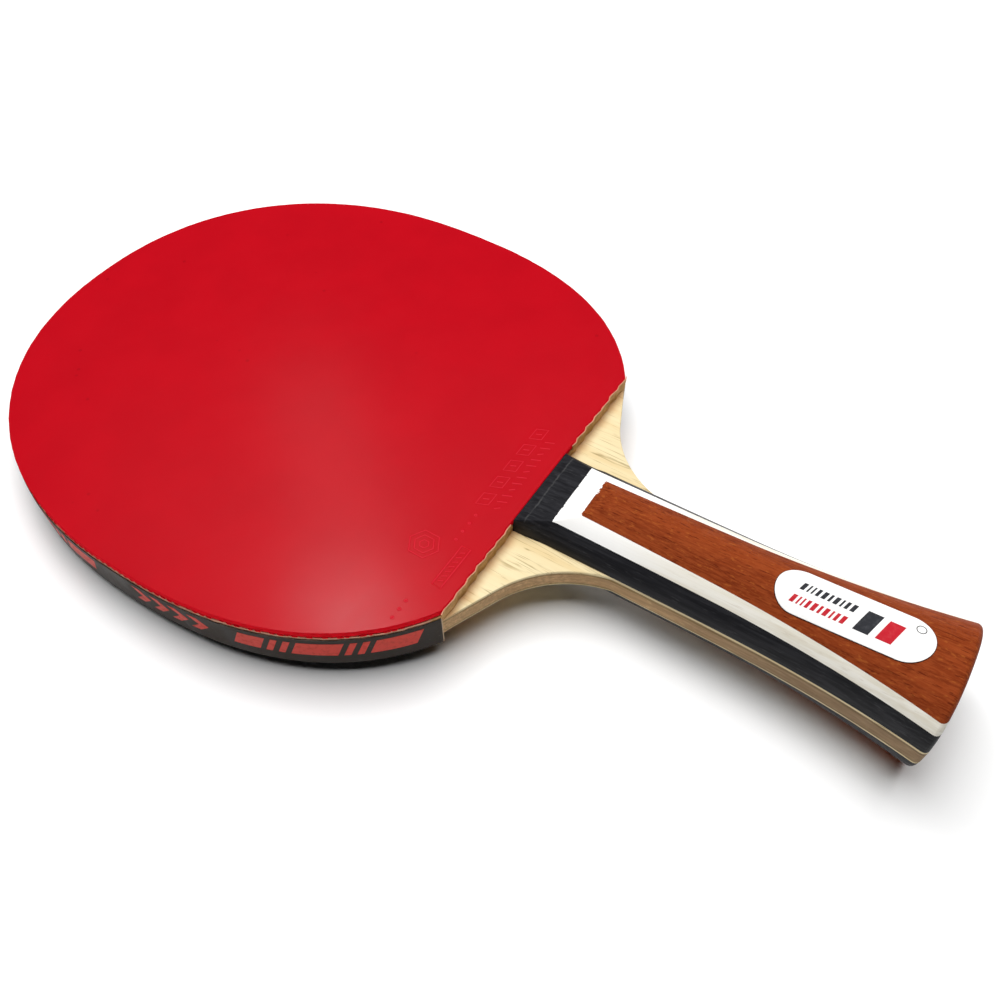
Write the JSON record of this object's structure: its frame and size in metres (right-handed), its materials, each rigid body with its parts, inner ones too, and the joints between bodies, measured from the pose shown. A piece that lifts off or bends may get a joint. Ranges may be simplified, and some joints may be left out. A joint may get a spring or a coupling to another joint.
{
  "type": "table tennis paddle",
  "caption": "Table tennis paddle: laminated wooden blade with a red and a black rubber, dark edge tape, and a flared handle of black, white and red-brown wood.",
  "frame": {"origin": "centre of the flat butt end face of the handle, on the blade's mid-plane", "axes": "+X from the butt of the handle to the tip of the head, +Z out of the red playing face, +Y across the head"},
  "size_m": [0.2586, 0.1506, 0.0284],
  "materials": {
    "core_wood": "bare sanded wood, tan, end grain and long grain at the edge",
    "inner_ply_wood": "bare sanded wood, thin darker line at the edge",
    "outer_ply_wood": "pale straight-grained wood, thin clear seal",
    "sponge": "matte open-cell foam rubber, peach orange",
    "red_rubber": "smooth satin rubber with a broad soft gloss",
    "black_rubber": "smooth satin rubber with a broad soft gloss",
    "edge_tape": "dark woven adhesive tape with worn red bars",
    "black_wood": "black-dyed sanded wood, fine grain",
    "white_wood": "very pale sanded wood, faint grain",
    "red_wood": "red-brown sanded wood with short dark pores",
    "label": "white printed film label"
  },
  "bodies": {
    "root": {"blade_core_ply": "core_wood", "blade_front_inner_ply": "inner_ply_wood", "blade_back_inner_ply": "inner_ply_wood", "blade_front_outer_ply": "outer_ply_wood", "blade_back_outer_ply": "outer_ply_wood", "front_sponge": "sponge", "front_top_sheet": "red_rubber", "back_sponge": "sponge", "back_top_sheet": "black_rubber", "edge_tape": "edge_tape", "front_handle_black_base": "black_wood", "front_handle_white_layer": "white_wood", "front_handle_redwood_top": "red_wood", "back_handle_black_base": "black_wood", "back_handle_white_layer": "white_wood", "back_handle_redwood_top": "red_wood", "handle_label": "label"}
  },
  "joints": []
}
